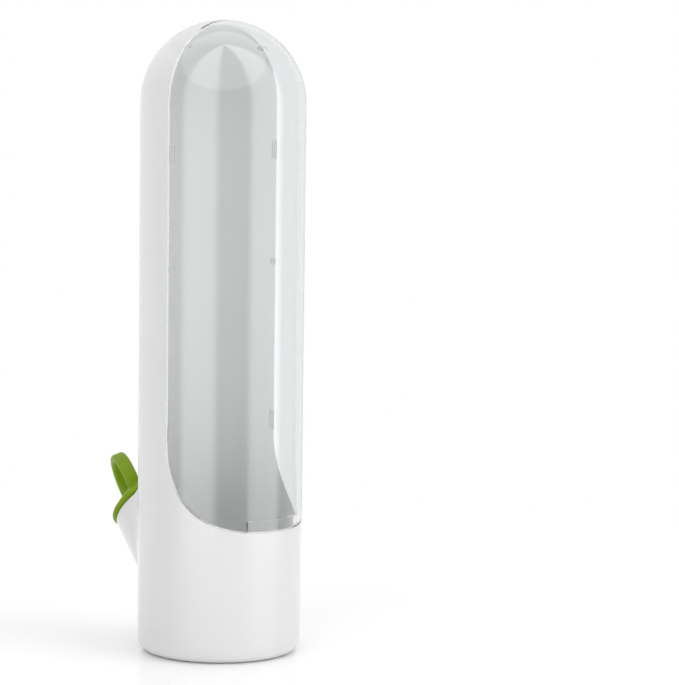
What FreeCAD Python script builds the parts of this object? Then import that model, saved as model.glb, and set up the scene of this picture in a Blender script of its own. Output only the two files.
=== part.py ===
"""Herb keeper: a standing tube for cut herbs in water.

A white shell carries the round cup, the back half of the tube and dome, and a filling spout.
A clear cover clips on as the front half, a plate closes the foot, and a silicone stopper with
a finger ring closes the spout.

Frame: millimetres, +Z up, origin in the middle of the underside, the window towards -Y and
the spout towards +Y.
"""

import FreeCAD, Part
import math
import os
import re

import Sketcher
from FreeCAD import Placement, Rotation, Vector

# Every size that can be set by itself: alias, value and what it measures.
DIMENSIONS = [
    ("tube_radius", 37.0, "outside radius of the tube and of the dome on top of it"),
    ("total_height", 284.0, "from the foot to the top of the dome"),
    ("shell_wall", 2.0, "wall of the white shell"),
    ("cover_wall", 1.8, "wall of the clear cover"),
    ("foot_round", 6.5, "radius of the rounded edge of the foot"),
    ("seam_height", 3.5, "height of the weld between shell and base plate"),
    ("plate_floor", 2.4, "thickness of the base plate"),
    ("plate_collar", 4.5, "height of the plate's collar above the seam"),
    ("plate_collar_wall", 1.6, "wall of the plate's collar"),
    ("weld_gap", 0.05, "room between the plate's collar and the shell"),
    ("parting_front", 1.2, "how far the parting lies in front of the axis"),
    ("parting_gap", 0.3, "gap between the shell's rim and the cover"),
    ("window_sill", 58.3, "lowest point of the window"),
    ("bend_over", 1.0, "how much the window's bend, seen from the side, outsizes the tube"),
    ("ledge_height", 5.4, "height of the cover's inner ledge above the sill"),
    ("ledge_depth", 1.8, "how far the ledge stands in from the cover's wall"),
    ("ledge_angle", 54.0, "arc that the ledge covers"),
    ("clip_thickness", 1.0, "thickness of the cover's clip tabs"),
    ("clip_reach", 2.6, "how far the tabs reach behind the parting"),
    ("clip_root", 3.0, "how far the tabs run back along the cover's wall"),
    ("clip_clearance", 0.35, "room round each tab in its recess"),
    ("clip_height", 7.6, "height of the lower and upper side tabs"),
    ("clip_small", 2.0, "height of the middle side tab and of the dome tabs"),
    ("clip_low", 5.3, "middle of the lower side tab, above the window's bend"),
    ("clip_high", 21.7, "middle of the upper side tab, below the dome"),
    ("clip_share", 0.59, "place of the small side tab between those two"),
    ("dome_clip_angle", 45.0, "place of the dome tabs, up from the dome's spring line"),
    ("spout_angle", 40.0, "rise of the spout's axis"),
    ("mouth_clear", 0.3, "how far the top of the lip stands out from the tube"),
    ("mouth_height", 61.0, "height of the mouth's centre"),
    ("spout_bore", 13.4, "radius of the spout's bore"),
    ("spout_wall", 2.3, "wall of the spout at its lip"),
    ("spout_flare", 10.0, "how much the spout's outside widens towards the tube"),
    ("spout_blend", 14.0, "radius of the blend between spout and tube"),
    ("lip_round", 0.9, "rounding of the lip's edges"),
    ("stopper_clearance", 0.4, "room between the stopper and the spout"),
    ("plug_length", 13.0, "length of the plug below the lip"),
    ("waist_room", 3.2, "room between the plug's waist and the bore"),
    ("bead_room", 2.3, "room between the bead at the plug's end and the bore"),
    ("bead_height", 2.0, "height of that bead"),
    ("flange_over", 0.2, "how far the stopper's flange stands out over the lip"),
    ("flange_lift", 1.15, "height of the flange's lower edge above the lip"),
    ("flange_droop", 1.35, "how much lower the flange is at the plug than at its edge"),
    ("flange_edge", 1.5, "thickness of the flange at its edge"),
    ("cone_height", 6.0, "height of the cone on the flange"),
    ("cone_inset", 7.4, "how much smaller the cone's top is than the flange"),
    ("ring_radius", 14.2, "outside radius of the finger ring"),
    ("ring_band", 3.5, "radial thickness of the ring"),
    ("ring_width", 6.2, "width of the ring along its own axis"),
    ("ring_round", 1.5, "rounding of the ring's edges"),
    ("ring_rise", 14.0, "height of the ring's centre above the lip"),
    ("ring_turn", -36.0, "turn of the ring about the spout's axis"),
    ("ring_lean", -9.0, "lean of the soft ring to one side of that axis"),
]

# Sizes that follow from those.
DERIVED = {
    "inside_radius": "(tube_radius - shell_wall)",
    "cover_inside": "(tube_radius - cover_wall)",
    "spring_line": "(total_height - tube_radius)",
    "window_top": "(window_sill + tube_radius + bend_over)",
    "bend_front": "(parting_front + tube_radius + bend_over)",
    "low_clip": "(window_sill + tube_radius + bend_over + clip_low)",
    "high_clip": "(total_height - tube_radius - clip_high)",
    "mouth_out": "(tube_radius + mouth_clear + (spout_bore + spout_wall) * sin(spout_angle))",
    # As deep as it takes the spout's underside to reach the inside of the tube's wall.
    "spout_depth": "((mouth_clear + 2 * (spout_bore + spout_wall) * sin(spout_angle)"
    " + 2 * shell_wall) / (cos(spout_angle) - tan(spout_flare) * sin(spout_angle)))",
    # As far past the mouth as the blend's upper end reaches.
    "spout_run": "(1 + spout_blend / tan(45 - (spout_angle - spout_flare) / 2))",
    "spout_radius": "(spout_bore + spout_wall)",
    "plug_radius": "(spout_bore - stopper_clearance)",
    "flange_radius": "(spout_bore + spout_wall + flange_over)",
}

ALIASES = {alias for alias, _, _ in DIMENSIONS}
PLANES = {"XY": "XY_Plane", "XZ": "XZ_Plane", "YZ": "YZ_Plane"}
ORIGIN = (-1, 1)      # the sketch's own origin point
H_AXIS, V_AXIS = -1, -2
START, END, CENTRE = 1, 2, 3
PAST = 6.0            # how far a cutting outline stands clear of what it cuts


def make_sheet(doc):
    """The spreadsheet of driving dimensions."""
    sheet = doc.addObject("Spreadsheet::Sheet", "Sizes")
    for row, (alias, value, meaning) in enumerate(DIMENSIONS, 1):
        sheet.set(f"A{row}", alias)
        sheet.set(f"B{row}", str(value))
        sheet.set(f"C{row}", meaning)
        sheet.setAlias(f"B{row}", alias)
    doc.recompute()
    return sheet


def sized(text):
    """An expression with each alias in it read from the sheet."""
    text = re.sub(r"[a-z_]+", lambda m: DERIVED.get(m[0], m[0]), text)
    return re.sub(r"[a-z_]+", lambda m: "Sizes." + m[0] if m[0] in ALIASES else m[0], text)


def number(thing, text):
    """The value of an expression, read through any object of the document."""
    value = thing.evalExpression(sized(text))
    return float(getattr(value, "Value", value))


def bind(thing, settings):
    """Bind each property in settings to its expression."""
    for path, text in settings.items():
        thing.setExpression(path, sized(text))


def add_sketch(body, name, plane, offset=None):
    """A sketch on one of the body's origin planes, moved and turned in it by offset."""
    sketch = body.newObject("Sketcher::SketchObject", name)
    role = PLANES[plane]
    support = next(f for f in body.Origin.OriginFeatures if f.Role == role)
    sketch.AttachmentSupport = [(support, "")]
    sketch.MapMode = "FlatFace"
    if offset:
        if "Rotation.Angle" in offset:
            sketch.AttachmentOffset = Placement(Vector(), Rotation(Vector(0, 0, 1), 1))
        bind(sketch, {f"AttachmentOffset.{k}": v for k, v in offset.items()})
        sketch.Document.recompute()
    return sketch


def place_point(sketch, edge, end, x, y, hold="xy"):
    """Hold a sketch point at expressions x and y; hold says which of the two are fixed."""
    axes = {"x": (x, "DistanceX", V_AXIS), "y": (y, "DistanceY", H_AXIS)}
    for letter in hold:
        text, kind, axis = axes[letter]
        if text == "0":
            sketch.addConstraint(Sketcher.Constraint("PointOnObject", edge, end, axis))
            continue
        row = sketch.addConstraint(
            Sketcher.Constraint(kind, *ORIGIN, edge, end, number(sketch, text))
        )
        sketch.setExpression(f"Constraints[{row}]", sized(text))


def draw_outline(sketch, corners, arcs=None):
    """A closed outline through corners of (x, y, hold), with arcs {corner: (x, y, ccw)}.

    An arc runs from its corner to the next one round its own centre, so one of the two
    corners leaves free the coordinate that the radius settles.
    """
    arcs = arcs or {}
    corners = [c if len(c) == 3 else (*c, "xy") for c in corners]
    points = [Vector(number(sketch, x), number(sketch, y), 0) for x, y, _ in corners]
    ends = []
    for i, start in enumerate(points):
        stop = points[(i + 1) % len(points)]
        if i not in arcs:
            ends.append((sketch.addGeometry(Part.LineSegment(start, stop), False), START, END))
            continue
        x, y, ccw = arcs[i]
        middle = Vector(number(sketch, x), number(sketch, y), 0)
        first, last = (start, stop) if ccw else (stop, start)
        angles = [math.atan2(p.y - middle.y, p.x - middle.x) for p in (first, last)]
        circle = Part.Circle(middle, Vector(0, 0, 1), (first - middle).Length)
        edge = sketch.addGeometry(Part.ArcOfCircle(circle, *angles), False)
        ends.append((edge, START, END) if ccw else (edge, END, START))
        place_point(sketch, edge, CENTRE, x, y)
    for i, (edge, _, stop_end) in enumerate(ends):
        following, start_end, _ = ends[(i + 1) % len(ends)]
        sketch.addConstraint(
            Sketcher.Constraint("Coincident", edge, stop_end, following, start_end)
        )
    for (edge, start_end, _), (x, y, hold) in zip(ends, corners):
        place_point(sketch, edge, start_end, x, y, hold)
    return sketch


def draw_box(sketch, left, right, low, high):
    """A rectangle between four expressions."""
    corners = [(left, low), (right, low), (right, high), (left, high)]
    return draw_outline(sketch, corners)


def spin(body, name, sketch, cut=False, axis="V_Axis", angle=None):
    """Revolve a sketch about one of its axes, to add or to cut."""
    kind = "PartDesign::Groove" if cut else "PartDesign::Revolution"
    feature = body.newObject(kind, name)
    feature.Profile = sketch
    feature.ReferenceAxis = (sketch, [axis])
    feature.Angle = 360
    feature.Refine = False
    if angle:
        feature.Midplane = True
        bind(feature, {"Angle": angle})
    sketch.Document.recompute()
    return feature


def push(body, name, sketch, length, cut=False, back=False, both=False):
    """Pad or pocket a sketch by an expression, one way or evenly both ways."""
    feature = body.newObject("PartDesign::Pocket" if cut else "PartDesign::Pad", name)
    feature.Profile = sketch
    feature.SideType = "Symmetric" if both else "One side"
    feature.Reversed = back
    feature.Refine = False
    bind(feature, {"Length": length})
    sketch.Document.recompute()
    return feature


def round_edges(body, name, base, wanted, radius):
    """Fillet those edges of base that the test wanted picks."""
    numbered = enumerate(base.Shape.Edges, 1)
    names = [f"Edge{i}" for i, edge in numbered if not edge.Degenerated and wanted(edge)]
    if not names:
        raise RuntimeError(f"{name}: no edge found")
    feature = body.newObject("PartDesign::Fillet", name)
    feature.Base = (base, names)
    feature.Refine = False
    bind(feature, {"Radius": radius})
    body.Document.recompute()
    return feature


def edge_points(edge, count=7):
    """Points along an edge, its ends included."""
    return edge.discretize(Number=count)


def outside_spout(sheet, point):
    """Distance of a point from the spout's outside, square to the spout's axis."""
    rise = math.radians(sheet.spout_angle)
    axis = Vector(0, math.cos(rise), math.sin(rise))
    offset = point - Vector(0, number(sheet, "mouth_out"), sheet.mouth_height)
    along = offset.dot(axis)
    flare = (along + sheet.lip_round) * math.tan(math.radians(sheet.spout_flare))
    return (offset - axis * along).Length - number(sheet, "spout_radius") + flare


def tube_outline(sketch):
    """Half section of the tube with its rounded foot, up to the dome."""
    corners = [
        ("0", "0"),
        ("tube_radius - foot_round", "0", "x"),
        ("tube_radius", "foot_round"),
        ("tube_radius", "spring_line"),
        ("0", "spring_line"),
    ]
    arcs = {1: ("tube_radius - foot_round", "foot_round", True)}
    return draw_outline(sketch, corners, arcs)


def add_dome(body, name, radius, cut=False):
    """Half a ball on the tube's end, turned about the line from front to back, so that its
    poles lie clear of the parting."""
    sketch = add_sketch(body, name + "Outline", "YZ", {"Base.y": "spring_line"})
    corners = [(radius, "0"), (f"-{radius}", "0", "y")]
    outline = draw_outline(sketch, corners, {0: ("0", "0", True)})
    return spin(body, name, outline, cut=cut, axis="H_Axis", angle="180")


def spout_section():
    """Settings that put a side-on sketch at the mouth, with the spout's axis upright in it."""
    return {
        "Base.x": "mouth_out",
        "Base.y": "mouth_height",
        "Rotation.Angle": "spout_angle - 90",
    }


def draw_clip_boxes(sketch, room):
    """The side tabs seen from the front, grown by room on every side."""
    outer = f"(cover_inside + clip_thickness / 2 + {room})"
    inner = f"(cover_inside - clip_thickness / 2 - {room})"
    tabs = [
        ("low_clip", "clip_height"),
        ("low_clip + clip_share * (high_clip - low_clip)", "clip_small"),
        ("high_clip", "clip_height"),
    ]
    for side in ("", "-"):
        for middle, tall in tabs:
            low = f"{middle} - {tall} / 2 - {room}"
            high = f"{middle} + {tall} / 2 + {room}"
            draw_box(sketch, side + inner, side + outer, low, high)
    return sketch


def draw_dome_box(sketch, room):
    """A dome tab, in a sketch turned about the middle of the dome."""
    outer = f"cover_inside + clip_thickness / 2 + {room}"
    inner = f"cover_inside - clip_thickness / 2 - {room}"
    return draw_box(sketch, inner, outer, f"-clip_small / 2 - {room}", f"clip_small / 2 + {room}")


def clip_features(body, back, length, room, cut):
    """The side tabs and dome tabs, or their recesses, from behind the parting forwards."""
    flat = {"Base.z": f"parting_front - ({back})"}
    sketch = draw_clip_boxes(add_sketch(body, "SideClipOutline", "XZ", flat), room)
    tip = push(body, "SideClips", sketch, length, cut=cut, back=cut)
    for turn in ("dome_clip_angle", "180 - dome_clip_angle"):
        place = {
            "Base.y": "spring_line",
            "Rotation.Angle": turn,
            **flat,
        }
        sketch = draw_dome_box(add_sketch(body, "DomeClipOutline", "XZ", place), room)
        tip = push(body, "DomeClip", sketch, length, cut=cut, back=cut)
    return tip


def rear_shell(doc, sheet):
    """White moulding: cup, back half of the tube and dome, and the filling spout."""
    body = doc.addObject("PartDesign::Body", "rear_shell")
    skin = tube_outline(add_sketch(body, "SkinOutline", "XZ"))
    spin(body, "Skin", skin)

    # The spout starts as a cone that runs on past its mouth, so that the blend has room.
    corners = [
        ("0", "-spout_depth"),
        ("spout_radius + (spout_depth - lip_round) * tan(spout_flare)", "-spout_depth"),
        ("spout_radius - (spout_run + lip_round) * tan(spout_flare)", "spout_run"),
        ("0", "spout_run"),
    ]
    outline = draw_outline(add_sketch(body, "SpoutOutline", "YZ", spout_section()), corners)
    cone = spin(body, "SpoutCone", outline)

    def meets_tube(edge):
        spots = edge_points(edge)
        on_skin = all(abs(math.hypot(p.x, p.y) - sheet.tube_radius) < 0.01 for p in spots)
        return on_skin and all(abs(outside_spout(sheet, p)) < 0.01 for p in spots)

    round_edges(body, "SpoutBlend", cone, meets_tube, "spout_blend")

    # It is cut square just below the mouth, and the tube's own skin is whole again above it.
    trim = draw_box(
        add_sketch(body, "MouthTrimOutline", "YZ", spout_section()),
        "0", "spout_radius + 2 * spout_blend", "-lip_round", f"spout_run + {PAST}",
    )
    spin(body, "MouthTrim", trim, cut=True)
    spin(body, "SkinAboveMouth", skin)

    # The lip is round outside and, as the bore is cut, inside.
    corners = [
        ("0", "-lip_round"),
        ("spout_radius", "-lip_round"),
        ("spout_radius - lip_round", "0", "x"),
        ("0", "0"),
    ]
    lip = draw_outline(
        add_sketch(body, "LipOutline", "YZ", spout_section()),
        corners,
        {1: ("spout_radius - lip_round", "-lip_round", True)},
    )
    spin(body, "Lip", lip)
    corners = [
        ("0", "-spout_depth"),
        ("spout_bore", "-spout_depth"),
        ("spout_bore", "-lip_round"),
        ("spout_bore + lip_round", "0", "x"),
        ("spout_bore + lip_round", f"{PAST}"),
        ("0", f"{PAST}"),
    ]
    bore = draw_outline(
        add_sketch(body, "BoreOutline", "YZ", spout_section()),
        corners,
        {2: ("spout_bore + lip_round", "-lip_round", False)},
    )
    spin(body, "Bore", bore, cut=True)

    # Dome, and the cavity, which is open below for the base plate.
    add_dome(body, "Dome", "tube_radius")
    corners = [
        ("0", f"-{PAST}"),
        (f"tube_radius + {PAST}", f"-{PAST}"),
        (f"tube_radius + {PAST}", "seam_height"),
        ("inside_radius", "seam_height"),
        ("inside_radius", "spring_line"),
        ("0", "spring_line"),
    ]
    spin(body, "Cavity", draw_outline(add_sketch(body, "CavityOutline", "XZ"), corners), cut=True)
    add_dome(body, "DomeCavity", "inside_radius", cut=True)

    # Window: straight down in front of the axis, then round to the sill.
    far_front = f"-bend_front - {PAST}"
    above = f"total_height + {PAST}"
    corners = [
        ("-parting_front", above),
        ("-parting_front", "window_top"),
        ("-bend_front", "window_sill", "x"),
        (far_front, "window_sill"),
        (far_front, above),
    ]
    window = draw_outline(
        add_sketch(body, "WindowOutline", "YZ"), corners, {1: ("-bend_front", "window_top", False)}
    )
    push(body, "Window", window, f"2 * tube_radius + {PAST}", cut=True, both=True)
    clip_features(
        body,
        back="clip_reach + clip_clearance",
        length=f"clip_reach + clip_clearance + {PAST}",
        room="clip_clearance",
        cut=True,
    )
    return body


def base_plate(doc, sheet):
    """White plate that closes the foot, with a collar inside the shell."""
    body = doc.addObject("PartDesign::Body", "base_plate")
    collar_out = "inside_radius - weld_gap"
    collar_in = f"{collar_out} - plate_collar_wall"
    level = "foot_round - seam_height"
    edge = f"tube_radius - foot_round + sqrt(foot_round ^ 2 - ({level}) ^ 2)"
    top = "seam_height + plate_collar"
    corners = [
        ("0", "0"),
        ("tube_radius - foot_round", "0"),
        (edge, "seam_height", "y"),
        (collar_out, "seam_height"),
        (collar_out, top),
        (collar_in, top),
        (collar_in, "plate_floor"),
        ("0", "plate_floor"),
    ]
    arcs = {1: ("tube_radius - foot_round", "foot_round", True)}
    spin(body, "Plate", draw_outline(add_sketch(body, "PlateOutline", "XZ"), corners, arcs))
    return body


def front_cover(doc, sheet):
    """Clear moulding: front half of the tube and dome, with a ledge and clip tabs."""
    body = doc.addObject("PartDesign::Body", "front_cover")
    low = f"window_sill - {PAST}"
    wall = draw_box(
        add_sketch(body, "WallOutline", "XZ"), "cover_inside", "tube_radius", low, "spring_line"
    )
    spin(body, "Wall", wall)
    ledge = draw_box(
        add_sketch(body, "LedgeOutline", "YZ"),
        "-(cover_inside + cover_wall / 2)",
        "-(cover_inside - ledge_depth)",
        low,
        "window_sill + ledge_height",
    )
    spin(body, "Ledge", ledge, angle="ledge_angle")

    # What lies behind the parting is cut off, with the gap that the shell's rim needs.
    front = "-parting_front - parting_gap"
    sill = "window_sill + parting_gap"
    far_front = f"-bend_front - {PAST}"
    above = f"total_height + {PAST}"
    behind = f"tube_radius + {PAST}"
    corners = [
        (front, above),
        (behind, above),
        (behind, f"-{PAST}"),
        (far_front, f"-{PAST}"),
        (far_front, sill),
        ("-bend_front", sill, "x"),
        (front, "window_top"),
    ]
    arcs = {5: ("-bend_front", "window_top", True)}
    cut = draw_outline(add_sketch(body, "PartingOutline", "YZ"), corners, arcs)
    push(body, "Parting", cut, f"2 * tube_radius + {PAST}", cut=True, both=True)

    # The dome ends at the parting by itself, turned about the line from front to back.
    corners = [
        (front, f"sqrt(tube_radius ^ 2 - ({front}) ^ 2)", "x"),
        ("-tube_radius", "0"),
        ("-cover_inside", "0"),
        (front, f"sqrt(cover_inside ^ 2 - ({front}) ^ 2)", "x"),
    ]
    arcs = {0: ("0", "0", True), 2: ("0", "0", False)}
    sketch = add_sketch(body, "CoverDomeOutline", "YZ", {"Base.y": "spring_line"})
    dome = draw_outline(sketch, corners, arcs)
    spin(body, "CoverDome", dome, axis="H_Axis", angle="180")
    clip_features(body, back="clip_reach", length="clip_reach + clip_root", room="0", cut=False)
    return body


def stopper(doc, sheet):
    """Silicone moulding: plug, flange with a cone on it, and finger ring."""
    body = doc.addObject("PartDesign::Body", "stopper")
    section = draw_box(
        add_sketch(
            body, "RingSection", "XZ", {"Base.y": "ring_rise", "Rotation.Angle": "ring_lean"}
        ),
        "-ring_width / 2",
        "ring_width / 2",
        "ring_radius - ring_band",
        "ring_radius",
    )
    ring = spin(body, "Ring", section, axis="H_Axis")
    round_edges(body, "RingRound", ring, lambda edge: edge.Closed, "ring_round")
    bead = "spout_bore - bead_room"
    cone_top = "flange_radius - cone_inset"
    corners = [
        ("0", "-plug_length"),
        (bead, "-plug_length"),
        (bead, "bead_height - plug_length"),
        ("spout_bore - waist_room", "1.5 * bead_height - plug_length"),
        ("plug_radius", "flange_lift - flange_droop"),
        ("flange_radius", "flange_lift"),
        ("flange_radius", "flange_lift + flange_edge"),
        (cone_top, "flange_lift + cone_height"),
        ("0", "flange_lift + cone_height"),
    ]
    plug = spin(body, "Plug", draw_outline(add_sketch(body, "PlugOutline", "XZ"), corners))

    def turned(radius, *heights):
        """A test for the circles of that radius at those heights."""
        away = number(sheet, radius)
        levels = [number(sheet, height) for height in heights]

        def wanted(edge):
            spots = edge_points(edge)
            on_round = all(abs(math.hypot(p.x, p.y) - away) < 0.01 for p in spots)
            return on_round and any(
                all(abs(p.z - level) < 0.01 for p in spots) for level in levels
            )

        return wanted

    rim = turned("flange_radius", "flange_lift", "flange_lift + flange_edge")
    rounded = round_edges(body, "FlangeRound", plug, rim, "0.45 * flange_edge")
    bead_edges = turned(bead, "-plug_length", "bead_height - plug_length")
    round_edges(body, "BeadRound", rounded, bead_edges, "0.4 * bead_height")
    seat = "vector(0; mouth_out; mouth_height)"
    tilt = "rotation(vector(1; 0; 0); spout_angle - 90)"
    turn = "rotation(vector(0; 0; 1); ring_turn)"
    bind(body, {"Placement": f"placement({seat}; {tilt} * {turn})"})
    doc.recompute()
    return body


def check(doc, bodies):
    """Stop if any object failed or any sub-part isn't one valid solid."""
    for thing in doc.Objects:
        if {"Invalid", "Error"} & set(thing.State):
            raise RuntimeError(f"{thing.Name} failed: {thing.State}")
    for body in bodies:
        shape = body.Shape
        if shape.isNull() or not shape.isValid() or len(shape.Solids) != 1:
            raise RuntimeError(f"{body.Label} isn't one valid solid")
        print(f"{body.Label}: {shape.Volume / 1000:.2f} cm3, box {shape.BoundBox}")


def main():
    doc = FreeCAD.newDocument("HerbKeeper")
    sheet = make_sheet(doc)
    bodies = [make(doc, sheet) for make in (rear_shell, base_plate, front_cover, stopper)]
    doc.recompute()
    check(doc, bodies)
    os.makedirs("parts", exist_ok=True)
    for body in bodies:
        body.Shape.exportStep(f"parts/{body.Label}.step")


main()
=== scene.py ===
"""Herb keeper: a standing tube for cut herbs in water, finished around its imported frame.

The white shell with its filling spout, the plate in its foot, the clear cover and the silicone
stopper have an operator each, and so has the studio that they stand in.
"""

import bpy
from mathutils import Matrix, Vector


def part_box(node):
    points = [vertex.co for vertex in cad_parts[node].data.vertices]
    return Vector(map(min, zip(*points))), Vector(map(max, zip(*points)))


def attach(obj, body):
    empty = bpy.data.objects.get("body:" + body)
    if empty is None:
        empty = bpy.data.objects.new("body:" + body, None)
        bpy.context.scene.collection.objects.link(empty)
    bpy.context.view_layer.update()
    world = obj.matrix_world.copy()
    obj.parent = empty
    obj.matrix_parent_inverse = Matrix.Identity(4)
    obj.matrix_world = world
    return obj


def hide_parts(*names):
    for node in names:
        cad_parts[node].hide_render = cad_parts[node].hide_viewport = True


bl_info = {
    "name": "Herb Keeper",
    "version": (1, 0, 0),
    "blender": (4, 5, 0),
    "location": "3D View > Sidebar > Herb Keeper",
    "description": "Builds a herb keeper and the studio that it stands in",
    "category": "Add Mesh",
}

import math

import bmesh
import bpy
import numpy as np
from bpy.props import FloatProperty, FloatVectorProperty, PointerProperty
from mathutils import Matrix, Vector
from mathutils.kdtree import KDTree

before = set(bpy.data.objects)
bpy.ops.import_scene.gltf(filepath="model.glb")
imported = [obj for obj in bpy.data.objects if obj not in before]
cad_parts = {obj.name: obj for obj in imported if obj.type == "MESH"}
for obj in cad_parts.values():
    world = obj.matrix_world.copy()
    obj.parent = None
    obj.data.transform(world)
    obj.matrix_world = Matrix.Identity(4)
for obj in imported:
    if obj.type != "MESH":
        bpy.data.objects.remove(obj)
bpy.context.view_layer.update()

MM = 0.001
TURN = 2 * math.pi
UP = (0.0, 0.0, 1.0)
ORIGIN = (0.0, 0.0, 0.0)
SAME_PLACE = 0.001 * MM  # points nearer than this are one

# Sizes read from the frame.
SHELL_LOW, SHELL_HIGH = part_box("rear_shell")
TUBE_RADIUS = SHELL_HIGH.x
SEAM_HEIGHT = SHELL_LOW.z
PLATE_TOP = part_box("base_plate")[1].z

# Sizes that the frame's boxes don't tell, the same as in the part.
TOTAL_HEIGHT = 284.0 * MM
SHELL_WALL = 2.0 * MM
FOOT_ROUND = 6.5 * MM
PLATE_FLOOR = 2.4 * MM
COLLAR_WALL = 1.6 * MM
WELD_GAP = 0.05 * MM
PARTING_FRONT = 1.2 * MM
WINDOW_SILL = 58.3 * MM
WINDOW_BEND = 38.0 * MM
SPOUT_RISE = math.radians(40.0)
SPOUT_FLARE = math.radians(10.0)
SPOUT_BORE = 13.4 * MM
SPOUT_RADIUS = 15.7 * MM
SPOUT_BLEND = 14.0 * MM
LIP_ROUND = 0.9 * MM
MOUTH_CLEAR = 0.3 * MM
MOUTH_HEIGHT = 61.0 * MM

SPRING_LINE = TOTAL_HEIGHT - TUBE_RADIUS
SPOUT_AXIS = Vector((0.0, math.cos(SPOUT_RISE), math.sin(SPOUT_RISE)))
MOUTH_OUT = TUBE_RADIUS + MOUTH_CLEAR + SPOUT_RADIUS * SPOUT_AXIS.z
MOUTH = Vector((0.0, MOUTH_OUT, MOUTH_HEIGHT))
BEND_CENTRE = Vector((0.0, -PARTING_FRONT - WINDOW_BEND, WINDOW_SILL + WINDOW_BEND))

# The cover's clip tabs: middle and length of each side one, and where the dome's two are.
CLIP_THICKNESS = 1.0 * MM
CLIP_REACH = 2.6 * MM
CLIP_ROOT = 3.0 * MM
CLIP_LONG = 7.6 * MM
CLIP_SHORT = 2.0 * MM
CLIP_LOW = WINDOW_SILL + WINDOW_BEND + 5.3 * MM
CLIP_HIGH = SPRING_LINE - 21.7 * MM
CLIP_BETWEEN = CLIP_LOW + 0.59 * (CLIP_HIGH - CLIP_LOW)
SIDE_TABS = ((CLIP_LOW, CLIP_LONG), (CLIP_BETWEEN, CLIP_SHORT), (CLIP_HIGH, CLIP_LONG))
DOME_TABS = (math.radians(45.0), math.radians(135.0))

# The stopper, with heights above the spout's lip.
PLUG_LENGTH = 13.0 * MM
PLUG_RADIUS = SPOUT_BORE - 0.4 * MM
WAIST_RADIUS = SPOUT_BORE - 3.2 * MM
BEAD_RADIUS = SPOUT_BORE - 2.3 * MM
BEAD_HEIGHT = 2.0 * MM
FLANGE_RADIUS = SPOUT_RADIUS + 0.2 * MM
FLANGE_LIFT = 1.15 * MM
FLANGE_DROOP = 1.35 * MM
FLANGE_EDGE = 1.5 * MM
CONE_HEIGHT = 6.0 * MM
CONE_INSET = 7.4 * MM
RING_RISE = 14.0 * MM
RING_ROUND = 1.5 * MM

# Steps in a full turn of each turned piece, and in the quarter turn up the dome.
PLATE_STEPS = 180
COVER_STEPS = 240
DOME_STEPS = 48
STOPPER_STEPS = 160
# The cuts along the parting leave slivers up to this size, which are merged away.
SLIVER = 0.06 * MM
# The stopper's remesh, and where and how often the ring's root is smoothed after it.
VOXEL = 0.3 * MM
ROOT_HEIGHTS = (2.2 * MM, 9.0 * MM)
ROOT_HALF_WIDTH = 5.0 * MM
ROOT_PASSES = 14

# The camera stands in front and to the left, a little above the dome, with a long lens.
CAMERA_PLACE = Vector((-1023.33, -948.28, 292.37)) * MM
CAMERA_TURN = [math.radians(angle) for angle in (83.7795, -0.7257, -49.2809)]
CAMERA_LENS = 164.13

# The lights' headings, in degrees from -Y towards +X. Each is brightest up to one angle off its
# heading, and has faded out at another.
SWEEP_HEADING, SWEEP_FULL, SWEEP_END = 133.0, 50.0, 115.0
BOX_FULL, BOX_END = 15.0, 31.0
# Each softbox's heading, its brightness beside the other's, and the share of its light that
# lands on the set. They show as streaks; the rest of their light is held back.
SOFTBOXES = ((-79.0, 1.0, 0.05), (17.0, 1.1, 0.19))
TOP_LIGHT_SPREAD = math.radians(100.0)
TOP_LIGHT_TURN = [math.radians(angle) for angle in (20.0, 0.0, -47.0)]


def linear(code):
    """A colour written as sRGB hex, in the linear values that Blender works with."""
    values = [int(code[i : i + 2], 16) / 255 for i in (1, 3, 5)]
    return [v / 12.92 if v <= 0.04045 else ((v + 0.055) / 1.055) ** 2.4 for v in values]


# Settings


class HERBKEEPER_PG_white(bpy.types.PropertyGroup):
    """Finish of the white mouldings."""

    colour: FloatVectorProperty(
        name="White", description="Colour of the white ABS", subtype="COLOR",
        min=0, max=1, default=linear("#e9e9e8"),
    )
    cool_colour: FloatVectorProperty(
        name="Cooler White", description="Colour where the melt cooled last", subtype="COLOR",
        min=0, max=1, default=linear("#e4e4e6"),
    )
    peel: FloatProperty(
        name="Orange Peel", description="Depth of the moulding's faint waves",
        subtype="DISTANCE", unit="LENGTH", precision=6, default=0.004 * MM,
    )


class HERBKEEPER_PG_cover(bpy.types.PropertyGroup):
    """Sizes and finish of the clear cover."""

    wall: FloatProperty(
        name="Wall", description="Thickness of the clear wall",
        subtype="DISTANCE", unit="LENGTH", precision=5, default=1.8 * MM,
    )
    gap: FloatProperty(
        name="Parting Gap", description="Room between the cover and the shell's rim",
        subtype="DISTANCE", unit="LENGTH", precision=5, default=0.3 * MM,
    )
    ledge_height: FloatProperty(
        name="Ledge Height", description="Height of the inner ledge above the sill",
        subtype="DISTANCE", unit="LENGTH", precision=5, default=5.4 * MM,
    )
    ledge_depth: FloatProperty(
        name="Ledge Depth", description="How far the inner ledge stands in from the wall",
        subtype="DISTANCE", unit="LENGTH", precision=5, default=1.8 * MM,
    )
    ledge_angle: FloatProperty(
        name="Ledge Arc", description="Arc that the inner ledge covers",
        subtype="ANGLE", unit="ROTATION", default=math.radians(54),
    )
    tint: FloatVectorProperty(
        name="Tint", description="Tint of the clear plastic", subtype="COLOR",
        min=0, max=1, default=linear("#f4f6f6"),
    )


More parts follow.
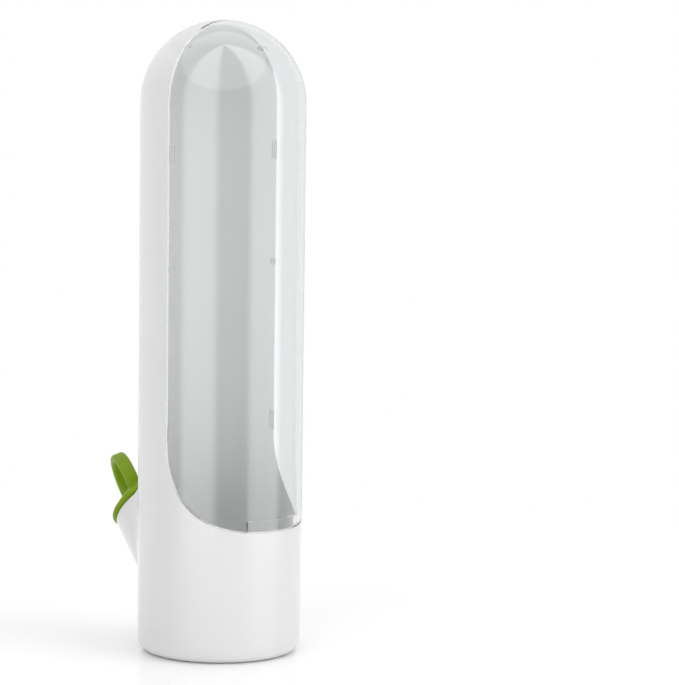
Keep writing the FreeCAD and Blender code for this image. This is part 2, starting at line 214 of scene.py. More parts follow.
class HERBKEEPER_PG_stopper(bpy.types.PropertyGroup):
    """Sizes and finish of the silicone stopper."""

    ring_radius: FloatProperty(
        name="Ring Radius", description="Outside radius of the finger ring",
        subtype="DISTANCE", unit="LENGTH", precision=5, default=14.2 * MM,
    )
    ring_band: FloatProperty(
        name="Ring Band", description="Thickness of the ring from inside to outside",
        subtype="DISTANCE", unit="LENGTH", precision=5, default=3.5 * MM,
    )
    ring_width: FloatProperty(
        name="Ring Width", description="Width of the ring along its own axis",
        subtype="DISTANCE", unit="LENGTH", precision=5, default=6.2 * MM,
    )
    ring_turn: FloatProperty(
        name="Ring Turn", description="Turn of the ring about the spout's axis",
        subtype="ANGLE", unit="ROTATION", default=math.radians(-36),
    )
    ring_lean: FloatProperty(
        name="Ring Lean", description="Lean of the soft ring to one side",
        subtype="ANGLE", unit="ROTATION", default=math.radians(9),
    )
    colour: FloatVectorProperty(
        name="Lime", description="Colour of the silicone", subtype="COLOR",
        min=0, max=1, default=linear("#82a014"),
    )
    deep_colour: FloatVectorProperty(
        name="Deep Lime", description="Colour where the silicone is thick", subtype="COLOR",
        min=0, max=1, default=linear("#71900c"),
    )


class HERBKEEPER_PG_studio(bpy.types.PropertyGroup):
    """Floor and light."""

    floor_colour: FloatVectorProperty(
        name="Floor", description="Colour of the floor", subtype="COLOR",
        min=0, max=1, default=linear("#f8f8f8"),
    )
    floor_size: FloatProperty(
        name="Floor Radius", description="How far the floor runs out",
        subtype="DISTANCE", unit="LENGTH", default=60.0,
    )
    sky: FloatProperty(
        name="Room Light", description="Brightness of the room in front", min=0, default=0.3,
    )
    sweep: FloatProperty(
        name="Sweep Light", description="Brightness of the white sweep behind", min=0, default=1.05,
    )
    box_light: FloatProperty(
        name="Softbox Light", description="Brightness of the two softboxes", min=0, default=3.6,
    )
    top_light: FloatProperty(
        name="Top Light", description="Strength of the wide light overhead", min=0, default=1.3,
    )


class HERBKEEPER_PG_settings(bpy.types.PropertyGroup):
    """Everything that a user may change."""

    white: PointerProperty(type=HERBKEEPER_PG_white)
    cover: PointerProperty(type=HERBKEEPER_PG_cover)
    stopper: PointerProperty(type=HERBKEEPER_PG_stopper)
    studio: PointerProperty(type=HERBKEEPER_PG_studio)


# Materials


def add_node(tree, kind, settings=None, inputs=None):
    """Add a node, with its settings and with each input set to a value or linked to an output."""
    node = tree.nodes.new(kind)
    for name, value in (settings or {}).items():
        setattr(node, name, value)
    for name, value in (inputs or {}).items():
        if isinstance(value, bpy.types.NodeSocket):
            tree.links.new(value, node.inputs[name])
        else:
            node.inputs[name].default_value = value
    return node


def new_material(name):
    """An empty node material."""
    material = bpy.data.materials.new(name)
    material.use_nodes = True
    material.node_tree.nodes.clear()
    return material, material.node_tree


def noise_scale(size):
    """Scale that gives a noise patches of about that size, in metres."""
    return 1.0 / size


def gloss_white_abs(settings):
    """Injection-moulded ABS, polished: faint soft-edged reflections over a neutral white.

    It shows as a faint orange peel and a gloss that varies a little from patch to patch, and
    the foot is dulled by years of being slid about.
    """
    material, tree = new_material("Gloss White ABS")
    spot = add_node(tree, "ShaderNodeTexCoord").outputs["Object"]
    # Flow marks, long along the tube, where the melt cooled last.
    flow = add_node(tree, "ShaderNodeMapping", inputs={"Vector": spot, "Scale": (1, 1, 0.25)})
    drift = add_node(
        tree, "ShaderNodeTexNoise",
        inputs={"Vector": flow.outputs["Vector"], "Scale": noise_scale(28 * MM), "Detail": 3.0},
    ).outputs["Fac"]
    colour = add_node(
        tree, "ShaderNodeMix", {"data_type": "RGBA"},
        {"Factor": drift, "A": (*settings.colour, 1), "B": (*settings.cool_colour, 1)},
    )
    # Gloss that varies over about a centimetre.
    patches = add_node(
        tree, "ShaderNodeTexNoise",
        inputs={"Vector": spot, "Scale": noise_scale(9 * MM), "Detail": 4.0, "Roughness": 0.6},
    ).outputs["Fac"]
    gloss = add_node(
        tree, "ShaderNodeMapRange",
        inputs={"Value": patches, "From Min": 0.3, "From Max": 0.7, "To Min": 0.17, "To Max": 0.22},
    ).outputs["Result"]
    # Fine scuffs low on the foot.
    height = add_node(tree, "ShaderNodeSeparateXYZ", inputs={"Vector": spot}).outputs["Z"]
    low = add_node(
        tree, "ShaderNodeMapRange", {"interpolation_type": "SMOOTHSTEP"},
        {"Value": height, "From Min": 0.0, "From Max": 4 * MM, "To Min": 1.0, "To Max": 0.0},
    ).outputs["Result"]
    scuff_grain = add_node(
        tree, "ShaderNodeTexNoise",
        inputs={"Vector": spot, "Scale": noise_scale(0.9 * MM), "Detail": 5.0, "Roughness": 0.7},
    ).outputs["Fac"]
    scuffs = add_node(
        tree, "ShaderNodeMath", {"operation": "MULTIPLY"}, {0: low, 1: scuff_grain}
    ).outputs["Value"]
    roughness = add_node(
        tree, "ShaderNodeMath", {"operation": "MULTIPLY_ADD"}, {0: scuffs, 1: 0.3, 2: gloss}
    ).outputs["Value"]
    # Orange peel: waves about 3 mm long and a few microns deep.
    peel = add_node(
        tree, "ShaderNodeTexNoise",
        inputs={"Vector": spot, "Scale": noise_scale(3 * MM), "Detail": 1.0},
    ).outputs["Fac"]
    bump = add_node(
        tree, "ShaderNodeBump", inputs={"Height": peel, "Distance": settings.peel, "Strength": 1.0}
    )
    shader = add_node(
        tree, "ShaderNodeBsdfPrincipled",
        inputs={
            "Base Color": colour.outputs["Result"],
            "Roughness": roughness,
            "Specular IOR Level": 0.3,
            "Normal": bump.outputs["Normal"],
        },
    )
    add_node(tree, "ShaderNodeOutputMaterial", inputs={"Surface": shader.outputs["BSDF"]})
    return material


def clear_san(settings):
    """Clear styrene-acrylonitrile, moulded in a polished tool: glass-clear, with bright edges.

    The wall is a real one, so it bends what lies behind it, darkens at its edges and picks up
    long soft highlights. Faint waves in the wall and hairline scratches keep it from looking
    like glass.
    """
    material, tree = new_material("Clear Moulded SAN")
    spot = add_node(tree, "ShaderNodeTexCoord").outputs["Object"]
    waves = add_node(
        tree, "ShaderNodeTexNoise",
        inputs={"Vector": spot, "Scale": noise_scale(14 * MM), "Detail": 1.0},
    ).outputs["Fac"]
    bump = add_node(
        tree, "ShaderNodeBump", inputs={"Height": waves, "Distance": 0.02 * MM, "Strength": 1.0}
    )
    # Hairline scratches from wiping, mostly up and down, 0.5 mm apart and 20 mm long.
    wiped = add_node(
        tree, "ShaderNodeMapping", inputs={"Vector": spot, "Scale": (1, 1, 0.03)}
    ).outputs["Vector"]
    scratches = add_node(
        tree, "ShaderNodeTexNoise",
        inputs={"Vector": wiped, "Scale": noise_scale(0.6 * MM), "Detail": 2.0},
    ).outputs["Fac"]
    roughness = add_node(
        tree, "ShaderNodeMapRange",
        inputs={
            "Value": scratches, "From Min": 0.6, "From Max": 0.75, "To Min": 0.012, "To Max": 0.06
        },
    ).outputs["Result"]
    # The edge round the window's bend comes a little matt out of the mould.
    from_bend = add_node(
        tree, "ShaderNodeVectorMath", {"operation": "SUBTRACT"}, {0: spot, 1: BEND_CENTRE}
    )
    across_bend = add_node(
        tree, "ShaderNodeVectorMath", {"operation": "MULTIPLY"},
        {0: from_bend.outputs["Vector"], 1: (0, 1, 1)},
    )
    out = add_node(
        tree, "ShaderNodeVectorMath", {"operation": "LENGTH"}, {0: across_bend.outputs["Vector"]}
    )
    height = add_node(
        tree, "ShaderNodeSeparateXYZ", inputs={"Vector": from_bend.outputs["Vector"]}
    ).outputs["Z"]
    low = add_node(tree, "ShaderNodeMath", {"operation": "LESS_THAN"}, {0: height, 1: 0.0})
    round_bend = add_node(
        tree, "ShaderNodeMath", {"operation": "GREATER_THAN"},
        {0: out.outputs["Value"], 1: WINDOW_BEND - settings.gap - 0.02 * MM},
    )
    matt = add_node(
        tree, "ShaderNodeMath", {"operation": "MULTIPLY"},
        {0: round_bend.outputs["Value"], 1: low.outputs["Value"]},
    )
    roughness = add_node(
        tree, "ShaderNodeMath", {"operation": "MULTIPLY_ADD"},
        {0: matt.outputs["Value"], 1: 0.2, 2: roughness},
    ).outputs["Value"]
    shader = add_node(
        tree, "ShaderNodeBsdfPrincipled",
        inputs={
            "Base Color": (*settings.tint, 1),
            "Roughness": roughness,
            "IOR": 1.57,
            "Transmission Weight": 1.0,
            "Normal": bump.outputs["Normal"],
        },
    )
    # Light from lamps and walls goes straight through, less what two faces reflect.
    clear = add_node(tree, "ShaderNodeBsdfTransparent", inputs={"Color": (0.93, 0.93, 0.93, 1)})
    path = add_node(tree, "ShaderNodeLightPath")
    straight = add_node(
        tree, "ShaderNodeMath", {"operation": "MAXIMUM"},
        {0: path.outputs["Is Shadow Ray"], 1: path.outputs["Is Diffuse Ray"]},
    )
    mixed = add_node(
        tree, "ShaderNodeMixShader",
        inputs={
            "Fac": straight.outputs["Value"],
            1: shader.outputs["BSDF"],
            2: clear.outputs["BSDF"],
        },
    )
    add_node(tree, "ShaderNodeOutputMaterial", inputs={"Surface": mixed.outputs["Shader"]})
    return material


def lime_silicone(settings):
    """Silicone rubber pressed in a blasted tool: a soft satin sheen and light that sinks in.

    The colour deepens in random patches about 7 mm across, and a fine blasted grain breaks up
    the highlights.
    """
    material, tree = new_material("Lime Silicone Rubber")
    spot = add_node(tree, "ShaderNodeTexCoord").outputs["Object"]
    cloud = add_node(
        tree, "ShaderNodeTexNoise",
        inputs={"Vector": spot, "Scale": noise_scale(7 * MM), "Detail": 3.0},
    ).outputs["Fac"]
    colour = add_node(
        tree, "ShaderNodeMix", {"data_type": "RGBA"},
        {"Factor": cloud, "A": (*settings.colour, 1), "B": (*settings.deep_colour, 1)},
    )
    grain = add_node(
        tree, "ShaderNodeTexNoise",
        inputs={"Vector": spot, "Scale": noise_scale(0.35 * MM), "Detail": 3.0},
    ).outputs["Fac"]
    roughness = add_node(
        tree, "ShaderNodeMapRange",
        inputs={"Value": grain, "From Min": 0.3, "From Max": 0.7, "To Min": 0.4, "To Max": 0.52},
    ).outputs["Result"]
    bump = add_node(
        tree, "ShaderNodeBump", inputs={"Height": grain, "Distance": 0.02 * MM, "Strength": 0.6}
    )
    shader = add_node(
        tree, "ShaderNodeBsdfPrincipled",
        inputs={
            "Base Color": colour.outputs["Result"],
            "Roughness": roughness,
            "IOR": 1.41,
            "Specular IOR Level": 0.3,
            "Subsurface Weight": 0.05,
            "Subsurface Radius": (0.6, 1.0, 0.2),
            "Subsurface Scale": 1.2 * MM,
            "Normal": bump.outputs["Normal"],
        },
    )
    add_node(tree, "ShaderNodeOutputMaterial", inputs={"Surface": shader.outputs["BSDF"]})
    return material


def studio_floor(settings):
    """White lacquered board: a bright floor that mirrors the foot faintly."""
    material, tree = new_material("White Lacquered Board")
    spot = add_node(tree, "ShaderNodeTexCoord").outputs["Object"]
    haze = add_node(
        tree, "ShaderNodeTexNoise",
        inputs={"Vector": spot, "Scale": noise_scale(60 * MM), "Detail": 2.0},
    ).outputs["Fac"]
    roughness = add_node(
        tree, "ShaderNodeMapRange", inputs={"Value": haze, "To Min": 0.01, "To Max": 0.03}
    ).outputs["Result"]
    shader = add_node(
        tree, "ShaderNodeBsdfPrincipled",
        inputs={"Base Color": (*settings.floor_colour, 1), "Roughness": roughness},
    )
    # Past the board's edge comes the white sweep: lit itself, and the softboxes stand on it.
    reach = add_node(
        tree, "ShaderNodeVectorMath", {"operation": "LENGTH"}, {0: spot}
    ).outputs["Value"]
    far = add_node(
        tree, "ShaderNodeMapRange", {"interpolation_type": "SMOOTHSTEP"},
        {"Value": reach, "From Min": 0.25, "From Max": 0.4},
    )
    path = add_node(tree, "ShaderNodeLightPath")
    sweep = add_node(
        tree, "ShaderNodeMixShader",
        inputs={
            "Fac": path.outputs["Is Diffuse Ray"],
            1: add_node(tree, "ShaderNodeBsdfTransparent").outputs["BSDF"],
            2: add_node(tree, "ShaderNodeEmission").outputs["Emission"],
        },
    )
    mixed = add_node(
        tree, "ShaderNodeMixShader",
        inputs={
            "Fac": far.outputs["Result"], 1: shader.outputs["BSDF"], 2: sweep.outputs["Shader"]
        },
    )
    add_node(tree, "ShaderNodeOutputMaterial", inputs={"Surface": mixed.outputs["Shader"]})
    return material


def white_finish():
    """The white ABS, made once and shared by the shell and the plate."""
    found = bpy.data.materials.get("Gloss White ABS")
    return found or gloss_white_abs(bpy.context.scene.herb_keeper.white)


# Meshes


def new_piece(mesh, name, material, body, node):
    """Put a mesh in the scene as the piece that stands for a node."""
    piece = bpy.data.objects.new(name, mesh)
    bpy.context.scene.collection.objects.link(piece)
    mesh.materials.clear()
    mesh.materials.append(material)
    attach(piece, body)
    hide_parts(node)
    return piece


def as_mesh(bm, name):
    """A mesh from a bmesh, as it is."""
    mesh = bpy.data.meshes.new(name)
    bm.to_mesh(mesh)
    bm.free()
    return mesh


def finished_mesh(bm, name, sharp=math.radians(35)):
    """Close a bmesh into a mesh, smooth but for its sharp edges."""
    for face in bm.faces:
        face.smooth = True
    for edge in bm.edges:
        edge.smooth = not (len(edge.link_faces) == 2 and edge.calc_face_angle(0) > sharp)
    return as_mesh(bm, name)


def spin_all(bm, steps, axis=UP):
    """Turn everything in a bmesh once round an axis through the origin."""
    bmesh.ops.spin(
        bm, geom=bm.verts[:] + bm.edges[:], cent=ORIGIN, axis=axis, angle=TURN, steps=steps,
        use_merge=True,
    )
    bmesh.ops.remove_doubles(bm, verts=bm.verts, dist=SAME_PLACE)


def lathe(corners, axis=UP, closed=False):
    """Turn one of the stopper's outlines. Each corner is a point and its rounding's radius."""
    bm = bmesh.new()
    verts = [bm.verts.new(point) for point, _ in corners]
    for pair in zip(verts, verts[1:] + verts[:1] if closed else verts[1:]):
        bm.edges.new(pair)
    for vert, (_, radius) in zip(verts, corners):
        if radius:
            # The cut is longer than the radius by the tangent of half the turn there.
            before, after = (edge.other_vert(vert).co - vert.co for edge in vert.link_edges)
            cut = radius * math.tan((math.pi - before.angle(after)) / 2)
            bmesh.ops.bevel(
                bm, geom=[vert], offset=cut, offset_type="OFFSET", affect="VERTICES",
                segments=8, profile=0.5, material=-1,
            )
    spin_all(bm, STOPPER_STEPS, axis)
    bmesh.ops.recalc_face_normals(bm, faces=bm.faces)
    return bm


def worked(mesh, *modifiers):
    """The mesh after modifiers, each given as its type and settings."""
    holder = bpy.data.objects.new("workpiece", mesh)
    bpy.context.scene.collection.objects.link(holder)
    for kind, settings in modifiers:
        modifier = holder.modifiers.new(kind, kind)
        for name, value in settings.items():
            setattr(modifier, name, value)
    graph = bpy.context.evaluated_depsgraph_get()
    result = bpy.data.meshes.new_from_object(holder.evaluated_get(graph))
    bpy.data.objects.remove(holder)
    return result


# Surfaces that the shell was cut from, each a test that gives points their distance from it
# and its normal there.


def round_wall(point, direction, radius, side):
    """A wall turned about a line. side is 1 where the solid is within it, -1 where without."""
    point, direction = np.array(point), np.array(direction)

    def measure(spots):
        out = spots - point
        out = out - np.outer(out @ direction, direction)
        away = np.linalg.norm(out, axis=1)
        return away - radius, side * out / np.maximum(away, 1e-9)[:, None]

    return measure


def round_edge(centre, direction, major, minor, side):
    """A rounded edge that runs in a circle; with a major radius of nothing it is a ball."""
    centre, direction = np.array(centre), np.array(direction)

    def measure(spots):
        out = spots - centre
        flat = out - np.outer(out @ direction, direction)
        reach = np.maximum(np.linalg.norm(flat, axis=1), 1e-9)[:, None]
        out = out - major * flat / reach
        away = np.linalg.norm(out, axis=1)
        return away - minor, side * out / np.maximum(away, 1e-9)[:, None]

    return measure


def flared_wall():
    """The spout's outside, a cone that widens downwards from the lip."""
    axis, lean = np.array(SPOUT_AXIS), math.tan(SPOUT_FLARE)

    def measure(spots):
        out = spots - np.array(MOUTH)
        along = out @ axis
        out = out - np.outer(along, axis)
        away = np.linalg.norm(out, axis=1)
        normal = out / np.maximum(away, 1e-9)[:, None] + lean * axis
        distance = (away - SPOUT_RADIUS + (along + LIP_ROUND) * lean) * math.cos(SPOUT_FLARE)
        return distance, normal * math.cos(SPOUT_FLARE)

    return measure


def rolled_blend(radius):
    """The blend between spout and tube, as a ball of that radius rolled round it leaves it."""
    across = Vector((1, 0, 0))
    rise = SPOUT_AXIS.cross(across)
    lean = math.tan(SPOUT_FLARE)
    steps = 2880
    track = KDTree(steps)
    places = []
    for i in range(steps):
        angle = TURN * i / steps
        way = across * math.cos(angle) + rise * math.sin(angle)
        # Where a line that runs that far outside the cone comes as far out from the tube.
        start = MOUTH + way * (SPOUT_RADIUS - LIP_ROUND * lean + radius / math.cos(SPOUT_FLARE))
        step = (SPOUT_AXIS - way * lean).to_2d()
        half = start.to_2d().dot(step)
        rest = start.to_2d().length_squared - (TUBE_RADIUS + radius) ** 2
        along = (math.sqrt(half**2 - step.length_squared * rest) - half) / step.length_squared
        places.append(start + (SPOUT_AXIS - way * lean) * along)
        track.insert(places[-1], i)
    track.balance()

    def measure(spots):
        near = np.array([places[track.find(Vector(s))[1]] for s in spots])
        out = near - spots
        away = np.linalg.norm(out, axis=1)
        return away - radius, out / np.maximum(away, 1e-9)[:, None]

    return measure


def shell_surfaces():
    """Every curved surface of the white shell."""
    inside = TUBE_RADIUS - SHELL_WALL
    centre, dome = (0, 0, 0), (0, 0, SPRING_LINE)
    lip = MOUTH - SPOUT_AXIS * LIP_ROUND
    return [
        round_wall(centre, UP, TUBE_RADIUS, 1),
        round_wall(centre, UP, inside, -1),
        round_edge(dome, UP, 0, TUBE_RADIUS, 1),
        round_edge(dome, UP, 0, inside, -1),
        round_edge((0, 0, FOOT_ROUND), UP, TUBE_RADIUS - FOOT_ROUND, FOOT_ROUND, 1),
        flared_wall(),
        round_wall(MOUTH, SPOUT_AXIS, SPOUT_BORE, -1),
        round_edge(lip, SPOUT_AXIS, SPOUT_RADIUS - LIP_ROUND, LIP_ROUND, 1),
        round_edge(lip, SPOUT_AXIS, SPOUT_BORE + LIP_ROUND, LIP_ROUND, 1),
        round_wall(BEND_CENTRE, (1, 0, 0), WINDOW_BEND, -1),
        rolled_blend(SPOUT_BLEND),
    ]


def cover_surfaces(sizes):
    """Every curved surface of the clear cover."""
    inner = TUBE_RADIUS - sizes.wall
    centre, dome = (0, 0, 0), (0, 0, SPRING_LINE)
    return [
        round_wall(centre, UP, TUBE_RADIUS, 1),
        round_wall(centre, UP, inner, -1),
        round_wall(centre, UP, inner - sizes.ledge_depth, -1),
        round_edge(dome, UP, 0, TUBE_RADIUS, 1),
        round_edge(dome, UP, 0, inner, -1),
        round_wall(BEND_CENTRE, (1, 0, 0), WINDOW_BEND - sizes.gap, 1),
    ]


def give_true_normals(mesh, surfaces):
    """Give each face's corners the normals of the surface that the face lies on.

    The mesh is all triangles. A face that lies on none of the surfaces is flat.
    """
    tolerance = 0.03 * MM  # how far off a surface its faces' corners may lie
    least_lean = 0.75  # the smallest cosine between a face's flat normal and the true ones
    spots = np.empty(len(mesh.vertices) * 3)
    mesh.vertices.foreach_get("co", spots)
    spots = spots.reshape(-1, 3)
    faces = np.empty(len(mesh.loops), np.int32)
    mesh.polygons.foreach_get("vertices", faces)
    faces = faces.reshape(-1, 3)
    a, b, c = (spots[faces[:, i]] for i in range(3))
    flat = np.cross(b - a, c - a)
    flat /= np.maximum(np.linalg.norm(flat, axis=1), 1e-15)[:, None]
    normals = np.repeat(flat[:, None], 3, axis=1)
    nearest = np.full(len(faces), tolerance)
    for measure in surfaces:
        distance, normal = measure(spots)
        furthest = np.abs(distance)[faces].max(axis=1)
        lean = (normal[faces] * flat[:, None]).sum(axis=2).min(axis=1)
        fits = (furthest < nearest) & (lean > least_lean)
        normals[fits] = normal[faces[fits]]
        nearest[fits] = furthest[fits]
    mesh.polygons.foreach_set("use_smooth", [True] * len(faces))
    mesh.normals_split_custom_set(normals.reshape(-1, 3).tolist())


# Operators


class HERBKEEPER_OT_white_shell(bpy.types.Operator):
    """Finish the white shell: cup, back half of the tube and dome, and filling spout"""

    bl_idname = "herb_keeper.white_shell"
    bl_label = "White Shell"

    def execute(self, context):
        # The frame's own solid, its loose triangles joined, with the normals of a real moulding.
        bm = bmesh.new()
        bm.from_mesh(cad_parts["rear_shell"].data)
        bmesh.ops.remove_doubles(bm, verts=bm.verts, dist=SAME_PLACE)
        if any(not edge.is_manifold for edge in bm.edges):
            raise RuntimeError("the shell's triangles don't close")
        mesh = as_mesh(bm, "white_shell")
        give_true_normals(mesh, shell_surfaces())
        new_piece(mesh, "white_shell", white_finish(), "shell", "rear_shell")
        return {"FINISHED"}


class HERBKEEPER_OT_foot_plate(bpy.types.Operator):
    """Turn the plate that closes the foot"""

    bl_idname = "herb_keeper.foot_plate"
    bl_label = "Foot Plate"

    def execute(self, context):
        collar = TUBE_RADIUS - SHELL_WALL - WELD_GAP
        flat = TUBE_RADIUS - FOOT_ROUND
        level = FOOT_ROUND - SEAM_HEIGHT
        edge = flat + math.sqrt(FOOT_ROUND**2 - level**2)
        bm = bmesh.new()
        start = bm.verts.new((flat, 0, 0))
        # The foot's round, up to the seam.
        climb = math.acos(level / FOOT_ROUND)
        bmesh.ops.spin(
            bm, geom=[start], cent=(flat, 0, FOOT_ROUND), axis=(0, -1, 0), angle=climb, steps=8
        )
        bm.verts.ensure_lookup_table()
        last = max(bm.verts, key=lambda v: v.co.z)
        last.co = (edge, 0, SEAM_HEIGHT)
        path = [
            (collar, SEAM_HEIGHT),
            (collar, PLATE_TOP),
            (collar - COLLAR_WALL, PLATE_TOP),
            (collar - COLLAR_WALL, PLATE_FLOOR),
            (0, PLATE_FLOOR),
        ]
        for x, z in path:
            following = bm.verts.new((x, 0, z))
            bm.edges.new((last, following))
            last = following
        bm.edges.new((bm.verts.new((0, 0, 0)), start))
        spin_all(bm, PLATE_STEPS)
        bmesh.ops.recalc_face_normals(bm, faces=bm.faces)
        mesh = finished_mesh(bm, "foot_plate")
        new_piece(mesh, "foot_plate", white_finish(), "shell", "base_plate")
        return {"FINISHED"}


class HERBKEEPER_OT_clear_cover(bpy.types.Operator):
    """Build the clear cover, with its inner ledge and its clip tabs"""

    bl_idname = "herb_keeper.clear_cover"
    bl_label = "Clear Cover"

    def execute(self, context):
        sizes = context.scene.herb_keeper.cover
        inner = TUBE_RADIUS - sizes.wall
        ledge_top = WINDOW_SILL + sizes.ledge_height
        bm = self.skins(inner, ledge_top)
        self.cut_parting(bm, WINDOW_BEND - sizes.gap)
        self.raise_ledge(bm, sizes, inner, ledge_top)
        rims = [edge for edge in bm.edges if edge.is_boundary]
        bmesh.ops.bridge_loops(bm, edges=rims)
        bmesh.ops.recalc_face_normals(bm, faces=bm.faces)
        tabs = bpy.data.objects.new("clip_tabs", self.clip_tabs(inner))
        context.scene.collection.objects.link(tabs)
        mesh = worked(
            as_mesh(bm, "cover_walls"),
            ("BOOLEAN", {"operation": "UNION", "solver": "EXACT", "object": tabs}),
        )
        bpy.data.objects.remove(tabs)
        bm = bmesh.new()
        bm.from_mesh(mesh)
        bmesh.ops.triangulate(bm, faces=bm.faces)
        if any(not edge.is_manifold for edge in bm.edges):
            raise RuntimeError("the cover doesn't close")
        mesh = as_mesh(bm, "clear_cover")
        give_true_normals(mesh, cover_surfaces(sizes))
        material = clear_san(sizes)
        new_piece(mesh, "clear_cover", material, "cover", "front_cover")
        return {"FINISHED"}

    def skins(self, inner, ledge_top):
        """The outer and the inner skin of tube and dome, turned whole, from below the sill up."""
        bm = bmesh.new()
        below_sill = WINDOW_SILL - 5 * MM
        for radius in (TUBE_RADIUS, inner):
            low, mid, high = (
                bm.verts.new((0, -radius, z)) for z in (below_sill, ledge_top, SPRING_LINE)
            )
            bm.edges.new((low, mid))
            bm.edges.new((mid, high))
            bmesh.ops.spin(
                bm, geom=[high], cent=(0, 0, SPRING_LINE), axis=(1, 0, 0), angle=-TURN / 4,
                steps=DOME_STEPS,
            )
        spin_all(bm, COVER_STEPS)
        return bm

    def cut_parting(self, bm, bend):
        """Cut away what lies behind the parting and below the window's bend, in 3 degree steps."""
        for degrees in range(0, 91, 3):
            angle = math.radians(degrees)
            out = Vector((0, math.cos(angle), -math.sin(angle)))
            bmesh.ops.bisect_plane(
                bm, geom=bm.verts[:] + bm.edges[:] + bm.faces[:], dist=1e-7,
                plane_co=BEND_CENTRE + out * bend, plane_no=out, clear_outer=True,
            )
        bmesh.ops.remove_doubles(bm, verts=bm.verts, dist=SLIVER)

    def raise_ledge(self, bm, sizes, inner, ledge_top):
        """Move the inner skin inwards along the sill, as the ledge that stands there."""
        # A little more than the ledge covers, so that no face in line with it is missed.
        furthest, half = inner + 0.1 * MM, sizes.ledge_angle / 2 + 0.001
        patch = []
        for face in bm.faces:
            middle = face.calc_center_median()
            low = middle.z < ledge_top and math.hypot(middle.x, middle.y) < furthest
            if low and abs(math.atan2(middle.x, -middle.y)) < half:
                patch.append(face)
        made = bmesh.ops.extrude_face_region(bm, geom=patch)["geom"]
        bmesh.ops.delete(bm, geom=patch, context="FACES")
        shrink = (inner - sizes.ledge_depth) / inner
        moved = [part for part in made if isinstance(part, bmesh.types.BMVert)]
        bmesh.ops.scale(bm, vec=(shrink, shrink, 1), verts=moved)

    def clip_tabs(self, inner):
        """Tabs that run back from the inner skin into slots in the shell's rim."""
        bm = bmesh.new()
        middle_y = (CLIP_REACH - CLIP_ROOT) / 2 - PARTING_FRONT
        deep = CLIP_REACH + CLIP_ROOT
        for side in (-1, 1):
            for middle, length in SIDE_TABS:
                place = Matrix.Translation((side * inner, middle_y, middle))
                size = Matrix.Diagonal((CLIP_THICKNESS, deep, length, 1))
                bmesh.ops.create_cube(bm, size=1, matrix=place @ size)
        for angle in DOME_TABS:
            spring = Matrix.Translation((0, middle_y, SPRING_LINE))
            place = spring @ Matrix.Rotation(-angle, 4, "Y") @ Matrix.Translation((inner, 0, 0))
            size = Matrix.Diagonal((CLIP_THICKNESS, deep, CLIP_SHORT, 1))
            bmesh.ops.create_cube(bm, size=1, matrix=place @ size)
        return as_mesh(bm, "clip_tabs")


class HERBKEEPER_OT_stopper(bpy.types.Operator):
    """Build the silicone stopper: plug, flange with its cone, and finger ring"""

    bl_idname = "herb_keeper.stopper"
    bl_label = "Stopper"

    def execute(self, context):
        sizes = context.scene.herb_keeper.stopper
        cone_top = FLANGE_LIFT + CONE_HEIGHT
        # Radius, height and rounding of each corner, from the plug's end to the cone's top.
        outline = [
            (0, -PLUG_LENGTH, 0),
            (BEAD_RADIUS, -PLUG_LENGTH, 0.8 * MM),
            (BEAD_RADIUS, BEAD_HEIGHT - PLUG_LENGTH, 0.6 * MM),
            (WAIST_RADIUS, 1.5 * BEAD_HEIGHT - PLUG_LENGTH, 0.6 * MM),
            (PLUG_RADIUS, FLANGE_LIFT - FLANGE_DROOP, 1.2 * MM),
            (FLANGE_RADIUS, FLANGE_LIFT, 0.55 * MM),
            (FLANGE_RADIUS, FLANGE_LIFT + FLANGE_EDGE, 0.6 * MM),
            (FLANGE_RADIUS - CONE_INSET, cone_top, 2.5 * MM),
            (0, cone_top, 0),
        ]
        plug = lathe([((radius, 0, height), rounding) for radius, height, rounding in outline])
        half, outer = sizes.ring_width / 2, sizes.ring_radius
        inner = outer - sizes.ring_band
        section = ((-half, 0, inner), (half, 0, inner), (half, 0, outer), (-half, 0, outer))
        ring = lathe([(point, RING_ROUND) for point in section], axis=(1, 0, 0), closed=True)
        lift = Matrix.Translation((0, 0, RING_RISE))
        lean = Matrix.Rotation(sizes.ring_lean, 4, "Y")
        bmesh.ops.transform(ring, matrix=lift @ lean, verts=ring.verts)
        ring_mesh = as_mesh(ring, "ring")
        plug.from_mesh(ring_mesh)
        mesh = worked(
            as_mesh(plug, "plug"),
            ("REMESH", {"mode": "VOXEL", "voxel_size": VOXEL}),
        )
        bpy.data.meshes.remove(ring_mesh)
        bm = bmesh.new()
        bm.from_mesh(mesh)
        self.soften(bm, bm.verts, 1)
        # Rubber has no hard corner where the ring grows out of the cone.
        low, high = ROOT_HEIGHTS
        root = [v for v in bm.verts if low < v.co.z < high and abs(v.co.x) < ROOT_HALF_WIDTH]
        self.soften(bm, root, ROOT_PASSES)
        place = (
            Matrix.Translation(MOUTH)
            @ Matrix.Rotation(SPOUT_RISE - math.pi / 2, 4, "X")
            @ Matrix.Rotation(sizes.ring_turn, 4, "Z")
        )
        bmesh.ops.transform(bm, matrix=place, verts=bm.verts)
        mesh = finished_mesh(bm, "stopper_rubber", math.radians(60))
        material = lime_silicone(sizes)
        new_piece(mesh, "stopper_rubber", material, "stopper", "stopper")
        return {"FINISHED"}

    def soften(self, bm, verts, passes):
        """Smooth some of a bmesh's points, as often as asked."""
        for _ in range(passes):
            bmesh.ops.smooth_vert(
                bm, verts=verts, factor=0.5, use_axis_x=True, use_axis_y=True, use_axis_z=True
            )


